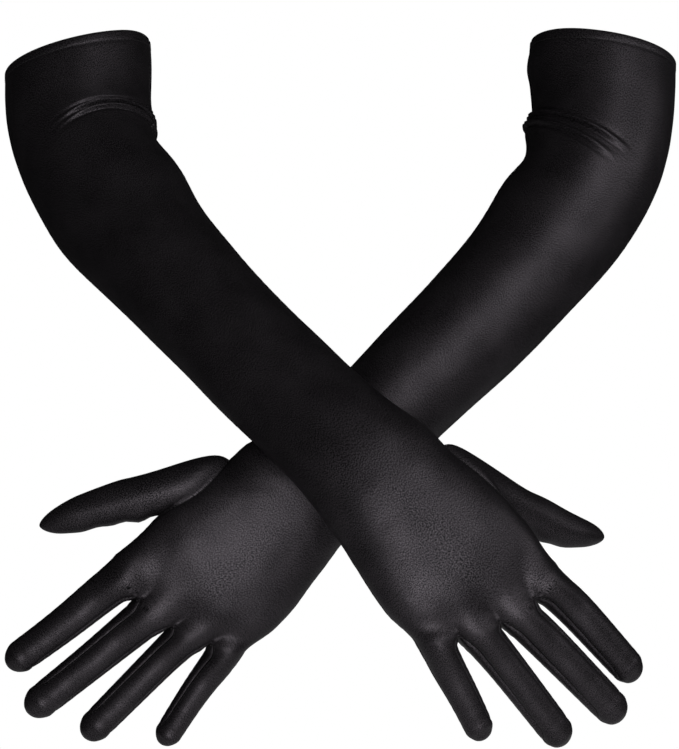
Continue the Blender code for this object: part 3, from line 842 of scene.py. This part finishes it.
def elastic_piece(glove, name):
    turn = np.linspace(0.0, 2.0 * math.pi, ELASTIC_SIDES + 1)
    sheet = Rows()
    last = None
    for drop in np.linspace(ELASTIC_TOP, ELASTIC_TOP + ELASTIC_HEIGHT, 7):
        along = glove.cuff_edge(turn) + drop
        gather = ELASTIC_GATHER * np.sin(turn * 46.0)
        across, out = glove.sleeve(along, turn, gather - ELASTIC_INSET)
        new = sheet.add(glove.place(along, across, out), turn * ELASTIC_FLAT_RADIUS, drop)
        if last:
            sheet.join(last, new)
        last = new
    inside_out = glove.handed < 0
    return sheet_mesh(
        name, sheet.points, sheet.places, sheet.faces, inside_out, ELASTIC_THICKNESS
    )


def elastic_material():
    """Black elastic: fine ribs run round it, and covered rubber shows as a dull knit."""
    material, shader, wire = start_material("ribbed elastic")
    cloth = wire.node("ShaderNodeUVMap", {"uv_map": "cloth"})
    ribs = wire.node(
        "ShaderNodeTexWave",
        {"bands_direction": "Y"},
        {"Vector": cloth, "Scale": 260.0, "Distortion": 0.6, "Detail": 1.0},
    )
    knit = wire.node("ShaderNodeTexNoise", None, {"Vector": cloth, "Scale": 2200.0})
    colour = wire.node(
        "ShaderNodeMix",
        {"data_type": "RGBA"},
        {0: ribs * 0.7 + knit * 0.3, 6: (0.006, 0.006, 0.006, 1), 7: (0.022, 0.022, 0.023, 1)},
        output=2,
    )
    bump = wire.node(
        "ShaderNodeBump", None, {"Strength": 0.8, "Distance": 0.0002, "Height": ribs + knit * 0.4}
    )
    links = material.node_tree.links
    links.new(colour.socket, shader.inputs["Base Color"])
    links.new(bump.socket, shader.inputs["Normal"])
    links.new((0.75 + knit * 0.15).socket, shader.inputs["Roughness"])
    return material


ribbed_elastic = elastic_material()
for glove in gloves:
    elastic = elastic_piece(glove, f"{glove.side}_elastic_ring")
    elastic.data.materials.append(ribbed_elastic)
    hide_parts(f"{glove.side}_cuff_elastic")
    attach(elastic, glove.body)

# STITCHING
# Every seam is sewn with black thread in short stitches that sink into the cloth between them.
# The hem has one plain row, and the finger seams carry the finest stitches.

THREAD = 0.00017
THREAD_SIDES = 5
THREAD_SINK = 1.3
SEAM_PITCH = 0.0024
FINGER_PITCH = 0.0019
STITCH_SHARE = 0.66
STITCH_STOPS = np.array((-0.5, -0.28, 0.28, 0.5))


def stitch_piece(name, route, outward, pitch, closed):
    """Short stitches along a route: each is a slim spindle that dips into the cloth at its ends."""
    route, outward = np.asarray(route), np.asarray(outward)
    if closed:
        route = np.vstack((route, route[:1]))
        outward = np.vstack((outward, outward[:1]))
    run = np.concatenate(([0.0], np.cumsum(np.linalg.norm(np.diff(route, axis=0), axis=1))))
    count = int(run[-1] / pitch)
    points, faces = [], []
    for number in range(count):
        middle = (number + 0.5) * run[-1] / count
        length = pitch * STITCH_SHARE
        stops = middle + length * STITCH_STOPS
        spots = np.stack([np.interp(stops, run, route[:, k]) for k in range(3)], axis=1)
        up = np.array([np.interp(middle, run, outward[:, k]) for k in range(3)])
        up /= np.linalg.norm(up)
        ahead = spots[-1] - spots[0]
        aside = np.cross(ahead, up)
        aside /= np.linalg.norm(aside)
        start = len(points)
        points.append(spots[0] - up * THREAD * THREAD_SINK)
        for spot in spots[1:3]:
            for k in range(THREAD_SIDES):
                turn = 2.0 * math.pi * k / THREAD_SIDES
                points.append(spot + THREAD * (math.cos(turn) * aside + math.sin(turn) * up))
        points.append(spots[3] - up * THREAD * THREAD_SINK)
        end = len(points) - 1
        for k in range(THREAD_SIDES):
            a, b = start + 1 + k, start + 1 + (k + 1) % THREAD_SIDES
            c, d = a + THREAD_SIDES, b + THREAD_SIDES
            faces += [(start, b, a), (a, b, d, c), (c, d, end)]
    mesh = bpy.data.meshes.new(name)
    mesh.from_pydata([tuple(p) for p in points], [], faces)
    mesh.shade_smooth()
    piece = bpy.data.objects.new(name, mesh)
    bpy.context.scene.collection.objects.link(piece)
    return piece


def spun_thread():
    """Black polyester thread: a fine twist with a slight shine."""
    material, shader, wire = start_material("spun thread")
    place = wire.node("ShaderNodeTexCoord", None, None, output=3)
    twist = wire.node("ShaderNodeTexNoise", None, {"Vector": place, "Scale": 3000.0, "Detail": 2.0})
    colour = wire.node(
        "ShaderNodeMix",
        {"data_type": "RGBA"},
        {0: twist, 6: (0.004, 0.004, 0.004, 1), 7: (0.030, 0.028, 0.030, 1)},
        output=2,
    )
    bump = wire.node(
        "ShaderNodeBump", None, {"Strength": 0.5, "Distance": 0.00006, "Height": twist}
    )
    links = material.node_tree.links
    links.new(colour.socket, shader.inputs["Base Color"])
    links.new(bump.socket, shader.inputs["Normal"])
    links.new((0.42 + twist * 0.2).socket, shader.inputs["Roughness"])
    return material


thread_material = spun_thread()


def sew(glove, node, low, high, pitch, closed):
    """Stitches for a CAD thread, along places on the cloth (low) with places above them (high)."""
    low, high = np.vstack(low), np.vstack(high)
    piece = stitch_piece(node.replace("_thread", "") + "_stitches", low, high - low, pitch, closed)
    piece.data.materials.append(thread_material)
    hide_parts(node)
    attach(piece, glove.body)


def sleeve_route(glove, angle, first, last, lift):
    """Down one side of the arm and hand, between two distances from the wrist."""
    root = FINGER_ROOTS[0 if math.cos(angle) < 0 else -1][0]
    web = float(web_along(root)[0])
    along = np.arange(first, min(last, web), 0.002)
    across, _ = glove.sleeve(along, angle, lift)
    target = root + lift * math.copysign(1.0, root)
    across = across + (target - across) * ease(along, KNUCKLE_START, web)
    return glove.place(along, across, 0.0)


def finger_side_route(glove, number, angle, lift):
    route = []
    for part in np.linspace(0.0, 0.95, 40):
        along, across, _, drop = glove.finger(number, part, np.array([angle]), lift)
        route.append(glove.place(along, across, -drop))
    return np.vstack(route)


def fourchette_route(glove, lower, lift):
    """Round a fourchette: its back edges, over the end, and its palm edges back."""
    parts = np.linspace(0.02, SIDE_END + 0.05, 36)
    beside = 0.0009
    loop = []
    for face in (1, -1):
        side = []
        for number, thumb_side, order in ((lower, True, parts[::-1]), (lower + 1, False, parts)):
            for part in order:
                turn = side_angle(SIDE_ANGLE, part) + beside / FINGER_END[number]
                angle = np.array([turn if thumb_side else math.pi - turn])
                along, across, out, drop = glove.finger(number, part, angle, lift)
                side.append(glove.place(along, across, face * out - drop))
        loop += side if face > 0 else side[::-1]
    return np.vstack(loop)


IN_SEAM = -0.00048
IN_FINGER_SEAM = -0.00030
ON_THUMB_SEAM = -0.00005
ON_HEM = 0.00005
ABOVE = 0.001
BESIDE_THUMB = 0.0011
index = len(FINGER_NAMES) - 1
leaf_start, leaf_end = (
    float(web_along(FINGER_ROOTS[-1][0])[0]) * row / HAND_PARTS for row in LEAF_ROWS
)
for glove in gloves:
    side = glove.side
    hem = [glove.cuff_edge(angle) + HEM_DEPTH + 0.001 for angle in (0.0, math.pi)]
    low, high = (
        [
            sleeve_route(glove, math.pi, hem[1], 0.0790, lift),
            finger_side_route(glove, 0, math.pi, lift),
        ]
        for lift in (IN_SEAM, ABOVE)
    )
    sew(glove, f"{side}_outer_seam_thread", low, high, SEAM_PITCH, False)
    low, high = ([sleeve_route(glove, 0.0, hem[0], leaf_start, lift)] for lift in (IN_SEAM, ABOVE))
    sew(glove, f"{side}_inner_seam_thread", low, high, SEAM_PITCH, False)
    low, high = (
        [
            sleeve_route(glove, 0.0, leaf_end + 0.002, 0.0950, lift),
            finger_side_route(glove, index, 0.0, lift),
        ]
        for lift in (IN_SEAM, ABOVE)
    )
    sew(glove, f"{side}_index_seam_thread", low, high, SEAM_PITCH, False)
    share = np.linspace(0.0, 1.0, 120, endpoint=False)
    low, high = ([leaf_spot(glove, share, lift, BESIDE_THUMB)] for lift in (ON_THUMB_SEAM, ABOVE))
    sew(glove, f"{side}_thumb_seam_thread", low, high, FINGER_PITCH, True)
    for lower in range(index):
        pair = f"{FINGER_NAMES[lower + 1]}_{FINGER_NAMES[lower]}"
        low, high = ([fourchette_route(glove, lower, lift)] for lift in (IN_FINGER_SEAM, ABOVE))
        sew(glove, f"{side}_fourchette_thread_{pair}", low, high, FINGER_PITCH, True)
    turn = np.linspace(0.0, 2.0 * math.pi, 200, endpoint=False)
    along = glove.cuff_edge(turn) + HEM_DEPTH
    low, high = ([glove.place(along, *glove.sleeve(along, turn, lift))] for lift in (ON_HEM, ABOVE))
    sew(glove, f"{side}_hem_stitching", low, high, SEAM_PITCH, True)

# ROOM
# A white studio with a pale floor well below the gloves and the camera level with the wrists. One
# soft box low in front lights the hands, one above to the right the wrists, and one at the right
# side the sleeves.

camera_data = bpy.data.cameras.new("camera")
camera_data.lens = 64.0
camera_data.sensor_width = 36.0
camera = bpy.data.objects.new("camera", camera_data)
camera.location = (0.0, -0.760, -0.182)
camera.rotation_euler = (math.radians(90.0), 0.0, 0.0)
bpy.context.scene.collection.objects.link(camera)
bpy.context.scene.camera = camera


def soft_box(name, place, aim, size, power):
    data = bpy.data.lights.new(name, "AREA")
    data.shape = "DISK"
    data.size = size
    data.energy = power
    box = bpy.data.objects.new(name, data)
    box.location = place
    box.rotation_euler = (Vector(aim) - Vector(place)).to_track_quat("-Z", "Y").to_euler()
    bpy.context.scene.collection.objects.link(box)


soft_box("front soft box", (0.20, -1.23, -0.42), (0.04, -0.10, -0.27), 0.50, 6.2)
soft_box("upper soft box", (0.62, -1.10, 0.25), (0.03, -0.07, -0.22), 0.70, 4.0)
soft_box("side soft box", (1.15, -0.50, 0.10), (-0.10, -0.03, -0.03), 0.45, 1.8)

floor_mesh = bpy.data.meshes.new("studio floor")
FLOOR_HALF, FLOOR_DROP = 0.75, 0.28
floor_level = cad_bounds[0][2] - FLOOR_DROP
corners = [
    (x * FLOOR_HALF, y * FLOOR_HALF, floor_level) for x, y in ((-1, -1), (1, -1), (1, 1), (-1, 1))
]
floor_mesh.from_pydata(corners, [], [(0, 1, 2, 3)])
floor = bpy.data.objects.new("studio_floor", floor_mesh)
floor_finish, floor_shader, wire = start_material("pale floor")
mottle = wire.node("ShaderNodeTexNoise", None, {"Scale": 6.0, "Detail": 3.0})
pale = wire.node(
    "ShaderNodeMix",
    {"data_type": "RGBA"},
    {0: mottle, 6: (0.86, 0.86, 0.87, 1), 7: (0.90, 0.90, 0.90, 1)},
    output=2,
)
floor_finish.node_tree.links.new(pale.socket, floor_shader.inputs["Base Color"])
floor_shader.inputs["Roughness"].default_value = 0.7
floor_mesh.materials.append(floor_finish)
bpy.context.scene.collection.objects.link(floor)

world = bpy.data.worlds.new("white studio")
world.use_nodes = True
bpy.context.scene.world = world
room = Wire(world.node_tree)
seen = room.node("ShaderNodeLightPath", None, None, output=0)
diffuse = room.node("ShaderNodeLightPath", None, None, output=2)
white = room.node("ShaderNodeBackground", None, {"Color": (1, 1, 1, 1), "Strength": 1.0})
soft = room.node("ShaderNodeBackground", None, {"Color": (1, 1, 1, 1), "Strength": 0.25})
dim = room.node("ShaderNodeBackground", None, {"Color": (1, 1, 1, 1), "Strength": 0.012})
around = room.node("ShaderNodeMixShader", None, {0: diffuse, 1: dim, 2: soft})
shown = room.node("ShaderNodeMixShader", None, {0: seen, 1: around, 2: white})
world_output = world.node_tree.nodes["World Output"]
world.node_tree.links.new(shown.socket, world_output.inputs["Surface"])
bpy.context.scene.view_settings.view_transform = "Standard"
